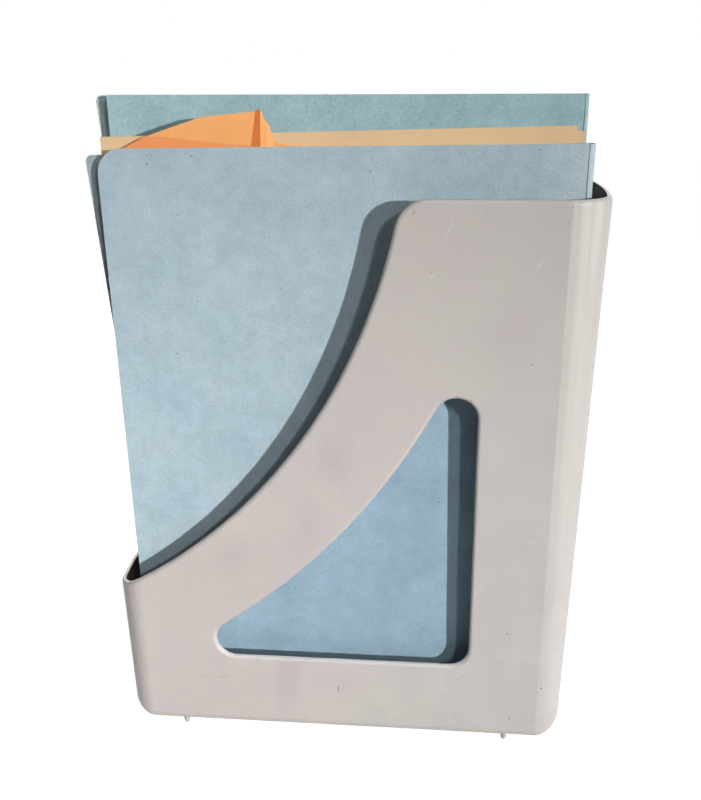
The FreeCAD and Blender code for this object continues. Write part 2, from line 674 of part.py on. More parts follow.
def fold_strip(doc, prefix, place, size):
    """The fold: two bends and a flat spine, from the front cover's edge to the back's."""
    body = doc.addObject("PartDesign::Body", prefix + "_folder_fold_strip")
    sketch = add_sketch(body, body.Name + "_section", "XY_Plane")
    edge_text = "%s.fold - %sbend" % (place, size)
    back_text = "%spitch + Sizes.board_thickness - %sbend" % (size, size)
    inner_text = "%sbend - Sizes.board_thickness" % size
    edge = evaluate(sketch, edge_text)
    outer = evaluate(sketch, size + "bend")
    inner = evaluate(sketch, inner_text)
    board = outer - inner
    back_middle = evaluate(sketch, back_text)
    front_out = add_arc(sketch, (edge, outer), outer, -90, 0)
    front_in = add_arc(sketch, (edge, outer), inner, -90, 0)
    back_out = add_arc(sketch, (edge, back_middle), outer, 0, 90)
    back_in = add_arc(sketch, (edge, back_middle), inner, 0, 90)
    spine_out = add_line(sketch, (edge + outer, outer), (edge + outer, back_middle))
    spine_in = add_line(sketch, (edge + inner, outer), (edge + inner, back_middle))
    front_end = add_line(sketch, (edge, 0), (edge, board))
    back_end = add_line(sketch, (edge, back_middle + inner), (edge, back_middle + outer))
    for front, spine, back in ((front_out, spine_out, back_out), (front_in, spine_in, back_in)):
        constrain(sketch, "Tangent", front, 2, spine, 1)
        constrain(sketch, "Tangent", spine, 2, back, 1)
        constrain(sketch, "Equal", front, back)
    constrain(sketch, "Coincident", front_out, 3, front_in, 3)
    constrain(sketch, "Coincident", back_out, 3, back_in, 3)
    constrain(sketch, "Coincident", front_end, 1, front_out, 1)
    constrain(sketch, "Coincident", front_end, 2, front_in, 1)
    constrain(sketch, "Coincident", back_end, 1, back_in, 2)
    constrain(sketch, "Coincident", back_end, 2, back_out, 2)
    constrain(sketch, "Vertical", front_end)
    constrain(sketch, "Vertical", back_end)
    constrain(sketch, "Vertical", spine_out)
    constrain(sketch, "Vertical", front_out, 1, front_out, 3)
    bound(sketch, "edge", edge_text, "DistanceX", -1, 1, front_out, 3, edge)
    bound(sketch, "front_middle", size + "bend", "DistanceY", -1, 1, front_out, 3, outer)
    bound(sketch, "back_middle", back_text, "DistanceY", -1, 1, back_out, 3, back_middle)
    bound(sketch, "outer", size + "bend", "Radius", front_out, outer)
    bound(sketch, "inner", inner_text, "Radius", front_in, inner)
    sketch.setExpression(".AttachmentOffset.Base.z", "%s.seat" % place)
    doc.recompute()
    pad = body.newObject("PartDesign::Pad", body.Name + "_pad")
    pad.Profile = sketch
    pad.setExpression("Length", size + "height")
    place_at_depth(body, size + "depth")
    doc.recompute()
    return body


def make_envelope(doc, values):
    """A manila envelope on its short side, with an open pocket and a longer rear panel."""
    room = values.inner_half_width(values.envelope_depth)
    reach = room - min(values.envelope_play, values.envelope_spare)
    seat = values.seat_height(reach, values.envelope_depth) + values.cover_gap
    derived_sheet(doc, "Envelope", (("room", room), ("seat", seat)))
    left = "Sizes.envelope_spare - Envelope.room"
    right = "Envelope.room - Sizes.envelope_play"
    top = "Envelope.seat + Sizes.envelope_height"
    lip = "%s - Sizes.envelope_lip_setback" % right
    body = doc.addObject("PartDesign::Body", "manila_envelope")
    add_layer(
        doc, body, "envelope_body",
        (
            ("low_left", left, "Envelope.seat", None),
            ("low_right", right, "Envelope.seat", None),
            ("top_right", right, top, None),
            ("top_left", left, top + " - Sizes.envelope_drop", None),
        ),
        "Sizes.envelope_thickness",
    )
    add_layer(
        doc, body, "envelope_lip",
        (
            ("low_left", left, "Envelope.seat", None),
            ("low_right", lip, "Envelope.seat", None),
            ("top_right", lip, top + " + Sizes.envelope_lip", None),
            ("top_left", left, top + " - Sizes.envelope_drop", None),
        ),
        "Sizes.envelope_panel", "Sizes.envelope_thickness - Sizes.envelope_panel",
    )
    cut_pocket(doc, body, left, right, top)
    place_at_depth(body, "Sizes.envelope_depth")
    doc.recompute()
    return body


def cut_pocket(doc, body, left, right, top):
    """Open the envelope between its two panels, inside the side and bottom seams."""
    sketch = add_sketch(body, "envelope_pocket_outline", "XZ_Plane")
    sketch.setExpression(".AttachmentOffset.Base.z", "-Sizes.envelope_panel")
    low = "Envelope.seat + Sizes.envelope_seam"
    high = top + " + Sizes.envelope_seam"
    draw_outline(
        sketch,
        (
            ("low_left", left + " + Sizes.envelope_seam", low, None),
            ("low_right", right + " - Sizes.envelope_seam", low, None),
            ("top_right", right + " - Sizes.envelope_seam", high, None),
            ("top_left", left + " + Sizes.envelope_seam", high, None),
        ),
    )
    doc.recompute()
    whole = body.Tip.Shape.Volume
    pocket = body.newObject("PartDesign::Pocket", "envelope_pocket")
    pocket.Profile = sketch
    pocket.setExpression("Length", "Sizes.envelope_thickness - 2 * Sizes.envelope_panel")
    doc.recompute()
    if body.Tip.Shape.Volume > whole - 1:
        raise ValueError("the envelope's pocket cut nothing")


def make_sheet(doc, values):
    """The orange sheet: one panel with a turned-up corner and a layer folded down."""
    room = values.inner_half_width(values.sheet_depth)
    derived_sheet(doc, "Loose", (("room", room),))
    low = "Sizes.wall + Sizes.cover_gap"
    half = "(Loose.room - Sizes.sheet_play)"
    body = flat_piece(
        doc, "orange_sheet",
        (
            ("low_left", "-" + half, low, None),
            ("low_right", half, low, None),
            ("top_right", half, "Sizes.sheet_low_edge", None),
            ("heel", "-Sizes.sheet_heel_offset", "Sizes.sheet_low_edge", None),
            ("peak", "-Sizes.sheet_peak_offset", "Sizes.sheet_peak_height", None),
            ("shoulder", "-Sizes.sheet_shoulder_offset", "Sizes.sheet_shoulder_height", None),
            ("top_left", "-" + half, "Sizes.sheet_low_edge", None),
        ),
        "Sizes.sheet_thickness", "Sizes.sheet_depth",
    )
    fold_foot = "Sizes.sheet_low_edge - Sizes.sheet_fold_length"
    add_layer(
        doc, body, "orange_sheet_folded_layer",
        (
            ("low_left", "-" + half, fold_foot, None),
            ("low_right", half, fold_foot, None),
            ("top_right", half, "Sizes.sheet_low_edge", None),
            ("top_left", "-" + half, "Sizes.sheet_low_edge", None),
        ),
        "Sizes.sheet_thickness", "Sizes.sheet_thickness",
    )
    return body


def check_document(doc, nodes):
    """Stop if anything in the document failed or a node isn't a sound solid."""
    for item in doc.Objects:
        if "Invalid" in item.State or "Error" in item.State:
            raise ValueError("%s is %s" % (item.Name, item.State))
    for node in nodes:
        if node.Shape.isNull() or not node.Shape.isValid() or not node.Shape.Solids:
            raise ValueError("bad shape: " + node.Label)


def main():
    doc = FreeCAD.newDocument("folder_holder")
    values = Values(make_sizes(doc))
    nodes = [make_shell(doc, values)]
    nodes += make_folder(doc, values, "front")
    nodes += make_folder(doc, values, "rear")
    nodes += [make_envelope(doc, values), make_sheet(doc, values)]
    doc.recompute()
    for node in nodes:
        node.Label = node.Name
    check_document(doc, nodes)
    os.makedirs("parts", exist_ok=True)
    for node in nodes:
        node.Shape.exportStep("parts/%s.step" % node.Label)
        box = node.Shape.BoundBox
        print("%-26s solids %d volume %.0f  x %.1f %.1f  y %.1f %.1f  z %.1f %.1f" % (
            node.Label, len(node.Shape.Solids), node.Shape.Volume,
            box.XMin, box.XMax, box.YMin, box.YMax, box.ZMin, box.ZMax,
        ))


main()
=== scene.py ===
# Looks of the filled folder holder: materials, the creased orange sheet, floor,
# lamps and camera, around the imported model. Places and sizes are millimetres in
# the frame of the CAD. Those of the lamps, and names that end in _M, are metres.
import math

import bmesh
import bpy
from mathutils import Matrix, Vector


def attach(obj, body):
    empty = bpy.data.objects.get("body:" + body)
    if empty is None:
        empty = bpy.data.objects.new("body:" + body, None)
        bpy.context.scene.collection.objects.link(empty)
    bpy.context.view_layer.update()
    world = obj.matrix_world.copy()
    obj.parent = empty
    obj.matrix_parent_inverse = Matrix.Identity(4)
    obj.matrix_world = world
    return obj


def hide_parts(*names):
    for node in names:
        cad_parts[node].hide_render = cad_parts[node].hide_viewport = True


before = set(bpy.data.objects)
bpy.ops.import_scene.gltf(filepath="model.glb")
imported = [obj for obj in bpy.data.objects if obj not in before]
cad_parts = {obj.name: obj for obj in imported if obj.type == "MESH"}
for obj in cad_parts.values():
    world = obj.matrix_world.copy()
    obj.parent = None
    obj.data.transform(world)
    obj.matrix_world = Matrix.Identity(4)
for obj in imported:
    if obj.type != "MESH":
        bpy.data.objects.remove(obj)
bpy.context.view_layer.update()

MM = 0.001


def colour(red, green, blue):
    return (red, green, blue, 1.0)


def grey(level):
    return colour(level, level, level)


# Camera, from a fit of the photograph's outlines, with places in its picture as
# pixels and angles in radians
IMAGE_LONG_SIDE = 800
IMAGE_MIDDLE = (350.5, 400.0)
SENSOR_WIDTH = 36.0
FOCAL_PIXELS = 1044.8
VIEW_CENTRE = (353.1, 513.1)
CAMERA_PLACE = (58.25, -530.39, 347.49)
CAMERA_PITCH = 0.4049
CAMERA_YAW = 0.1078
CAMERA_ROLL = -0.0091
CAMERA_NEAR_M = 0.01
CAMERA_FAR_M = 50.0

# Lamps: name, azimuth and elevation as seen from the object, distance and width,
# half angle of the beam in degrees, level on a surface that faces the lamp, colour,
# and where it is aimed. The high lamp lights papers that are lifted out, and
# nothing below them.
LAMP_CENTRE = Vector((0.0, -0.03, 0.16))
AIM_LOW = Vector((-0.24, -0.03, 0.085))
AIM_HIGH = Vector((0.0, -0.03, 0.62))
LAMPS = (
    ("key_lamp", 41.0, 11.0, 1.7, 0.028, 17.4, 1.46, (1.0, 0.98, 0.975), AIM_LOW),
    ("second_lamp", 27.5, 24.5, 1.7, 0.14, 17.4, 0.36, (1.0, 0.98, 0.975), AIM_LOW),
    ("high_lamp", 41.0, 20.0, 1.7, 0.05, 9.6, 0.85, (1.0, 0.98, 0.975), AIM_HIGH),
    ("back_lamp", 182.0, 26.0, 1.7, 0.5, 80.0, 0.75, (1.0, 0.99, 0.97), AIM_LOW),
    ("back_left_lamp", 220.0, 14.0, 1.7, 0.5, 80.0, 0.14, (0.98, 0.98, 1.0), AIM_LOW),
    ("side_panel", 86.0, 6.0, 1.0, 0.34, 80.0, 0.17, (1.0, 0.985, 0.96), AIM_LOW),
    ("top_lamp", -5.0, 79.0, 1.6, 0.5, 80.0, 0.2, (0.97, 0.985, 1.0), AIM_LOW),
)
WORLD_LEVEL = 0.01
WORLD_COLOUR = colour(0.95, 0.98, 1.0)

FLOOR_HALF_WIDTH_M = 60.0
FLOOR_COLOUR = grey(0.56)
FLOOR_SPECKLE = grey(0.5)
FLOOR_SEEN_COLOUR = grey(0.3)
FLOOR_SEEN_GLOW = 0.92
# Distances from the object over which the floor that is seen turns white
FLOOR_FADE = (350.0, 1500.0)

# Sockets of a Mix node that hold its factor and its two colours
COLOUR_MIX_SOCKETS = (0, 6, 7)


class Graph:
    """Adds nodes to one material or world. Most calls give the output socket of what they add."""

    def __init__(self, owner):
        owner.use_nodes = True
        self.owner = owner
        self.tree = owner.node_tree
        self.tree.nodes.clear()

    def add(self, kind, inputs=None, **settings):
        """Adds one node and gives the node itself."""
        made = self.tree.nodes.new("ShaderNode" + kind)
        for name, value in settings.items():
            setattr(made, name, value)
        for name, value in (inputs or {}).items():
            self.fill(made.inputs[name], value)
        return made

    def fill(self, socket, value):
        if isinstance(value, bpy.types.NodeSocket):
            self.tree.links.new(value, socket)
        else:
            socket.default_value = value

    def place(self, shift=(0.0, 0.0, 0.0)):
        """The surface's place on its own body, in millimetres."""
        source = self.add("TexCoord").outputs["Object"]
        inputs = {"Vector": source, "Scale": (1 / MM,) * 3, "Location": shift}
        return self.add("Mapping", inputs).outputs["Vector"]

    def facing(self):
        """Which way the surface faces on its own body."""
        return self.add("TexCoord").outputs["Normal"]

    def part(self, vector, axis):
        return self.add("SeparateXYZ", {"Vector": vector}).outputs[axis]

    def stretched(self, vector, scale):
        return self.add("Mapping", {"Vector": vector, "Scale": scale}).outputs["Vector"]

    def noise(self, vector, cell, detail=3.0, roughness=0.55, distortion=0.0):
        inputs = {"Vector": vector, "Scale": 1 / cell, "Detail": detail,
                  "Roughness": roughness, "Distortion": distortion}
        return self.add("TexNoise", inputs).outputs["Fac"]

    def cells(self, vector, cell, output="Distance"):
        return self.add("TexVoronoi", {"Vector": vector, "Scale": 1 / cell}).outputs[output]

    def spread(self, value, between, give=(0.0, 1.0)):
        """Lays the range of values between two limits over the range to give."""
        inputs = {"Value": value, "From Min": between[0], "From Max": between[1],
                  "To Min": give[0], "To Max": give[1]}
        return self.add("MapRange", inputs).outputs["Result"]

    def clouds(self, vector, cell, between=(0.3, 0.7), give=(0.0, 1.0), detail=3.0, roughness=0.55):
        """Noise, laid over a range in the same way."""
        return self.spread(self.noise(vector, cell, detail, roughness), between, give)

    def dots(self, vector, cell, radius, strength):
        """A dot in each cell, full within the first radius and gone at the second, in cells."""
        return self.spread(self.cells(vector, cell), radius, give=(strength, 0.0))

    def math(self, operation, first, second=0.0):
        made = self.add("Math", operation=operation)
        self.fill(made.inputs[0], first)
        self.fill(made.inputs[1], second)
        return made.outputs[0]

    def times(self, product, *factors):
        for factor in factors:
            product = self.math("MULTIPLY", product, factor)
        return product

    def size(self, value):
        return self.math("ABSOLUTE", value)

    def vector_math(self, operation, *vectors):
        """The number that an operation such as LENGTH or DISTANCE gives."""
        made = self.add("VectorMath", operation=operation)
        for socket, vector in zip(made.inputs, vectors):
            self.fill(socket, vector)
        return made.outputs["Value"]

    def mix(self, factor, first, second, blend_type="MIX"):
        made = self.add("Mix", data_type="RGBA", blend_type=blend_type)
        for index, value in zip(COLOUR_MIX_SOCKETS, (factor, first, second)):
            self.fill(made.inputs[index], value)
        return made.outputs[2]

    def shaded(self, base, factor):
        """A colour made lighter and darker by a factor that varies over the surface."""
        channels = {"Red": factor, "Green": factor, "Blue": factor}
        return self.mix(1.0, base, self.add("CombineColor", channels).outputs[0], "MULTIPLY")

    def join(self, kind, first, second, inputs=None):
        """Joins two shaders by a node whose last two sockets are theirs, and gives that node."""
        made = self.add(kind, inputs)
        for socket, shader in zip(list(made.inputs)[-2:], (first, second)):
            self.fill(socket, shader.outputs[0])
        return made

    def edges(self, radius, strength):
        """The strength on an edge's crest and 0 on a flat face."""
        soft = self.add("Bevel", {"Radius": radius * MM}, samples=4).outputs["Normal"]
        sharp = self.add("NewGeometry").outputs["Normal"]
        turn = self.math("SUBTRACT", 1.0, self.vector_math("DOT_PRODUCT", soft, sharp))
        return self.times(self.spread(turn, between=(0.02, 0.25)), strength)

    def openness(self, distance, only_local=False):
        """1 on open faces and less in corners and gaps."""
        inputs = {"Distance": distance * MM}
        return self.add("AmbientOcclusion", inputs, samples=6, only_local=only_local).outputs["AO"]

    def bump(self, height, distance, strength):
        inputs = {"Height": height, "Distance": distance * MM, "Strength": strength}
        return self.add("Bump", inputs).outputs["Normal"]

    def finish(self, **sockets):
        """Joins the Principled shader, whose sockets are given by name, and gives the owner."""
        names = {"colour": "Base Color", "roughness": "Roughness", "normal": "Normal",
                 "specular": "Specular IOR Level", "sheen": "Sheen Weight"}
        shader = self.add("BsdfPrincipled", {names[key]: value for key, value in sockets.items()})
        self.add("OutputMaterial", {"Surface": shader.outputs["BSDF"]})
        return self.owner


# Colours of the shell's plastic: its clouds at the low end and at the spine, the painted shade, light and
# highlights laid over them, and what marks them
LOW_END_CLOUDS = (colour(0.495, 0.443, 0.432), colour(0.53, 0.492, 0.455))
SPINE_CLOUDS = (colour(0.565, 0.537, 0.526), colour(0.585, 0.57, 0.54))
UPPER_PAINTED_SHADE = colour(0.47, 0.436, 0.405)
LOWER_PAINTED_LIGHT = colour(0.66, 0.625, 0.585)
STAIN_COLOUR = colour(0.475, 0.44, 0.438)
BLOTCH_COLOUR = colour(0.4, 0.36, 0.365)
SPECK_COLOUR = colour(0.2, 0.17, 0.15)
WORN_PLASTIC = colour(0.6, 0.58, 0.56)
SCRATCH_COLOUR = colour(0.66, 0.64, 0.62)
CORNER_PAINTED_HIGHLIGHT = colour(0.66, 0.635, 0.595)
SILL_PAINTED_HIGHLIGHT = colour(0.76, 0.79, 0.82)
PALE_MARK_COLOUR = colour(0.74, 0.73, 0.71)
DARK_MARK_COLOUR = colour(0.16, 0.12, 0.105)
# Painted shade on the inner faces, in the middle and at the ends
INSIDE_SHADE_MIDDLE = colour(0.19, 0.178, 0.172)
INSIDE_SHADE_ENDS = colour(0.045, 0.04, 0.04)

# Where they change, across the holder (x)
CLOUDS_CHANGE = (-60.0, 95.0)
CORNER_BEGINS = (104.1, 104.9)
CORNER_FADES = (112.5, 128.0)
# and by height
LOWER_LIGHT_ENDS = (20.0, 90.0)
UPPER_SHADE_GROWS = (60.0, 290.0)
CORNER_GROWS = (90.0, 285.0)
SILL_ENDS = (60.0, 64.0)
# How far from the middle the end walls begin and the inner faces' painted shade deepens, and how deep and
# wide the holder is from there
END_WALLS_BEGIN = (90.0, 98.0)
INSIDE_SHADE_DEEPENS = (78.0, 104.0)
HALF_DEPTH = 50.0
HALF_WIDTH = 125.0

# Marks of use, and soft darker patches, on the front of the shell: middle (x, z), half length, half width
# and tilt on the wall, and how strongly each shows
DARK_MARKS = (
    (-78.9, 36.4, 6.0, 0.3, -10.0, 0.35),
    (-67.3, 36.7, 6.4, 0.3, 7.0, 0.35),
    (-3.5, 32.6, 2.7, 0.45, 91.0, 0.8),
    (106.3, 39.2, 0.8, 0.6, 20.0, 0.9),
    (90.3, 19.0, 0.8, 0.5, 60.0, 0.9),
    (86.6, 72.2, 0.6, 0.5, 0.0, 0.9),
    (103.0, 282.5, 0.7, 0.5, 0.0, 0.5),
    (90.9, 218.0, 0.6, 0.5, 0.0, 0.7),
    (43.1, 260.7, 0.8, 0.5, 20.0, 0.55),
    (53.1, 262.7, 0.6, 0.5, 0.0, 0.35),
    (34.7, 287.0, 1.9, 0.45, 50.0, 0.5),
    (104.4, 289.6, 0.7, 0.4, 20.0, 0.6),
)
PALE_MARKS = (
    (51.1, 281.3, 5.2, 0.35, 77.0, 0.32),
    (50.4, 279.5, 4.0, 0.3, 72.0, 0.3),
    (91.2, 264.0, 1.7, 0.4, 75.0, 0.5),
    (92.4, 265.6, 1.2, 0.35, -30.0, 0.4),
    (43.0, 258.6, 1.8, 1.0, 20.0, 0.25),
)
# Soft darker patches on the front
BLOTCHES = (
    (-3.2, 167.7, 12.0, 8.0, 70.0, 0.38),
    (-19.3, 129.3, 14.0, 7.0, 80.0, 0.32),
    (-56.1, 111.2, 10.0, 8.0, 60.0, 0.34),
    (-31.6, 35.7, 14.0, 6.5, 80.0, 0.34),
    (76.1, 227.3, 17.0, 12.0, 80.0, 0.2),
)
# Where they end, from the middle of each (0) to its rim (1): full up to the first
# value and gone at the second
SHARP_RIM = (0.6, 1.05)
SOFT_RIM = (0.1, 1.6)
# The depth in which they show, around the front wall: its middle (y) and half length
MARKED_DEPTH = (-47.0, 6.0)


def shell_marks(graph, place, table, rim):
    """Where the marks of a table lie, as one mask."""
    total = 0.0
    middle_y, reach_y = MARKED_DEPTH
    for x, z, length, width, tilt, strength in table:
        inputs = {"Vector": place, "Location": (x, middle_y, z),
                  "Rotation": (0.0, -math.radians(tilt), 0.0), "Scale": (length, reach_y, width)}
        local = graph.add("Mapping", inputs, vector_type="TEXTURE").outputs["Vector"]
        mask = graph.spread(graph.vector_math("LENGTH", local), rim, give=(strength, 0.0))
        total = graph.math("MAXIMUM", mask, total)
    return total


def shell_inside_shade_mask(graph, place):
    """Where the inner faces are, which get painted shade: those that face the middle of the holder, a
    little more in corners and gaps.
    """
    facing = graph.facing()
    depth = graph.times(graph.part(place, "Y"), graph.part(facing, "Y"))
    width = graph.times(graph.part(place, "X"), graph.part(facing, "X"))
    width = graph.times(width, graph.spread(graph.size(graph.part(place, "X")), END_WALLS_BEGIN))
    depth = graph.math("DIVIDE", depth, HALF_DEPTH)
    width = graph.math("DIVIDE", width, HALF_WIDTH)
    inner = graph.spread(graph.math("ADD", depth, width), between=(-0.15, -0.6))
    open_face = graph.openness(distance=90.0, only_local=True)
    return graph.times(inner, graph.spread(open_face, between=(0.3, 0.8), give=(1.0, 0.92)))


def shell_inside_shade_colour(graph, place):
    """Painted shade inside: grey in the middle, where papers that are lifted out uncover it, and dark at
    the ends.
    """
    towards_end = graph.spread(graph.size(graph.part(place, "X")), INSIDE_SHADE_DEEPENS)
    return graph.mix(towards_end, INSIDE_SHADE_MIDDLE, INSIDE_SHADE_ENDS)


def shell_base(graph, place):
    """Cloudy warm grey, with painted shade towards the rim and painted light low down, and stains, soft
    darker patches, grain and specks.
    """
    upward = graph.part(place, "Z")
    cloud = graph.clouds(place, cell=70.0)
    low_end = graph.mix(cloud, *LOW_END_CLOUDS)
    spine = graph.mix(cloud, *SPINE_CLOUDS)
    base = graph.mix(graph.spread(graph.part(place, "X"), CLOUDS_CHANGE), low_end, spine)
    # Painted shade, darker towards the rim, and painted light, paler low down
    base = graph.mix(graph.spread(upward, UPPER_SHADE_GROWS, give=(0.0, 0.7)), base, UPPER_PAINTED_SHADE)
    base = graph.mix(graph.spread(upward, LOWER_LIGHT_ENDS, give=(0.28, 0.0)), base, LOWER_PAINTED_LIGHT)
    stain = graph.clouds(place, cell=22.0, between=(0.35, 0.75), give=(0.0, 0.5), detail=4.0, roughness=0.6)
    base = graph.mix(stain, base, STAIN_COLOUR)
    base = graph.mix(shell_marks(graph, place, BLOTCHES, SOFT_RIM), base, BLOTCH_COLOUR)
    grain = graph.clouds(place, cell=0.9, between=(0.25, 0.75), give=(0.945, 1.055), roughness=0.7)
    base = graph.shaded(base, grain)
    speck = graph.dots(place, cell=21.0, radius=(0.012, 0.03), strength=0.7)
    return graph.mix(speck, base, SPECK_COLOUR)


def shell_scratches(graph, place):
    """Upright hairlines, in patches."""
    upright = graph.stretched(place, scale=(1.0, 1.0, 0.12))
    lines = graph.noise(upright, cell=3.5, detail=2.0, roughness=0.5, distortion=1.2)
    beside_line = graph.size(graph.math("SUBTRACT", lines, 0.5))
    line = graph.spread(beside_line, between=(0.0, 0.006), give=(1.0, 0.0))
    return graph.times(line, graph.clouds(place, cell=26.0, between=(0.6, 0.7), detail=2.0))


def shell_corner_highlight(graph, place, strength):
    """Painted highlight on the rounded corner at the spine: streaked, and stronger towards the rim."""
    across = graph.part(place, "X")
    begun = graph.spread(across, CORNER_BEGINS)
    fading = graph.spread(across, CORNER_FADES, give=(1.0, 0.15))
    upright = graph.stretched(place, scale=(1.0, 1.0, 0.02))
    streak = graph.clouds(upright, cell=2.6, between=(0.35, 0.65), give=(0.45, 1.0), detail=2.0)
    rising = graph.spread(graph.part(place, "Z"), CORNER_GROWS, give=(0.55, 1.35))
    return graph.times(begun, fading, streak, rising, strength)


def shell_sill_highlight(graph, place):
    """Painted highlight on what faces up, from the window's sill down."""
    upturned = graph.spread(graph.part(graph.facing(), "Z"), between=(0.15, 0.55))
    return graph.times(upturned, graph.spread(graph.part(place, "Z"), SILL_ENDS, give=(0.25, 0.0)))


def shell_plastic():
    """Aged warm grey moulded plastic: satin and marked outside, with painted shade and little gloss within,
    and painted highlights on the spine's corner and the sill.
    """
    graph = Graph(bpy.data.materials.new("shell_plastic_looks"))
    place = graph.place()
    inside_shade = shell_inside_shade_mask(graph, place)
    scratch = shell_scratches(graph, place)
    base = shell_base(graph, place)
    base = graph.mix(graph.edges(radius=0.9, strength=0.12), base, WORN_PLASTIC)
    base = graph.mix(graph.times(scratch, 0.25), base, SCRATCH_COLOUR)
    # Painted highlight: the reflection on the spine's rounded corner
    base = graph.mix(shell_corner_highlight(graph, place, strength=0.42), base, CORNER_PAINTED_HIGHLIGHT)
    # Painted highlight along the window's sill
    base = graph.mix(shell_sill_highlight(graph, place), base, SILL_PAINTED_HIGHLIGHT)
    base = graph.mix(shell_marks(graph, place, PALE_MARKS, SHARP_RIM), base, PALE_MARK_COLOUR)
    base = graph.mix(shell_marks(graph, place, DARK_MARKS, SHARP_RIM), base, DARK_MARK_COLOUR)
    # Painted shade on the inner faces
    base = graph.mix(inside_shade, base, shell_inside_shade_colour(graph, place))
    height = graph.math("ADD", graph.noise(place, cell=1.1, detail=2.0), graph.times(scratch, -1.5))
    return graph.finish(
        colour=base,
        roughness=graph.clouds(place, cell=14.0, give=(0.27, 0.36), detail=4.0, roughness=0.65),
        normal=graph.bump(height, distance=0.02, strength=0.6),
        specular=graph.spread(inside_shade, between=(0.0, 0.7), give=(0.36, 0.02)))


# The two folders' boards: the shades of their clouds, where these lie, and the painted shade on the front
# one where the shell covers it
FRONT_BOARD = {
    "pale": colour(0.41, 0.525, 0.58), "deep": colour(0.365, 0.48, 0.545),
    "shift": (0.0, 0.0, 0.0), "painted_shade_under_shell": colour(0.3, 0.445, 0.55),
}
REAR_BOARD = {
    "pale": colour(0.4, 0.59, 0.63), "deep": colour(0.345, 0.53, 0.575),
    "shift": (57.0, 31.0, 83.0),
}
# Painted shade and painted light on the strips of the back covers that show past the front ones
FRONT_STRIP_PAINTED_SHADE = colour(0.33, 0.4, 0.425)
REAR_STRIP_PAINTED_LIGHT = colour(0.5, 0.62, 0.63)
# Painted light towards the front folder's fold, and a cloud in its painted shade under the shell
FOLD_PAINTED_LIGHT = colour(0.56, 0.68, 0.72)
SHADE_CLOUD_UNDER_SHELL = colour(0.23, 0.33, 0.43)
FLECK_COLOUR = colour(0.07, 0.09, 0.11)
DARK_FIBRE = colour(0.2, 0.29, 0.35)
PALE_FIBRE = colour(0.62, 0.72, 0.76)
WORN_BOARD = colour(0.52, 0.6, 0.64)
FLECK_CELL = 7.0

# Where painted light lies on the front folder towards its fold (x), and where the longer back covers show
# past the front ones and carry painted shade on the front folder and painted light on the rear one (x)
FOLD_LIGHT_FROM = (88.0, 110.0)
PAINTED_STRIP_UP_TO = (-114.5, -112.5)
# The swoop and the rim, as the edges of the painted shade where the shell covers the front folder
SWOOP_CENTRE = (-250.0, 0.0, 340.6)
SWOOP_RADIUS = 282.3
RIM_HEIGHT = 292.5
COVERED_PAST_SWOOP = (SWOOP_RADIUS + 6.0, SWOOP_RADIUS + 34.0)
COVERED_BELOW_RIM = (RIM_HEIGHT - 12.0, RIM_HEIGHT - 2.0)
# Stretches cells along the depth, so that more of their dots reach an upright sheet
THIN_SHEET = (1.0, 0.2, 1.0)


def painted_light_and_shade(graph, place, base, painted_shade_under_shell):
    """Painted light on the front folder towards its fold, and painted shade, bluer and clouded, where the
    shell covers it.
    """
    on_body = graph.place()
    fold_light = graph.spread(graph.part(on_body, "X"), FOLD_LIGHT_FROM, give=(0.0, 0.6))
    base = graph.mix(fold_light, base, FOLD_PAINTED_LIGHT)
    on_wall = graph.stretched(on_body, scale=(1.0, 0.0, 1.0))
    from_centre = graph.vector_math("DISTANCE", on_wall, SWOOP_CENTRE)
    past_swoop = graph.spread(from_centre, COVERED_PAST_SWOOP, give=(0.0, 0.9))
    below_rim = graph.spread(graph.part(on_body, "Z"), COVERED_BELOW_RIM, give=(1.0, 0.0))
    cloud = graph.clouds(place, cell=45.0, between=(0.42, 0.66), give=(0.0, 0.6), detail=4.0, roughness=0.6)
    covered_shade = graph.mix(cloud, painted_shade_under_shell, SHADE_CLOUD_UNDER_SHELL)
    return graph.mix(graph.times(past_swoop, below_rim), base, covered_shade)


def mottle(graph, place):
    """How much lighter or darker pulp is from place to place, finely and coarsely."""
    fine = graph.clouds(place, cell=1.0, give=(0.86, 1.14), roughness=0.75)
    coarse = graph.clouds(place, cell=6.5, give=(0.92, 1.08), detail=4.0, roughness=0.68)
    return graph.times(fine, coarse)


def flecks(graph, place):
    """Small dark flecks of unequal strength."""
    flat = graph.stretched(place, THIN_SHEET)
    fleck = graph.dots(flat, FLECK_CELL, radius=(0.03, 0.08), strength=0.85)
    chance = graph.part(graph.cells(flat, FLECK_CELL, "Color"), "X")
    return graph.times(fleck, graph.spread(chance, between=(0.45, 0.95)))


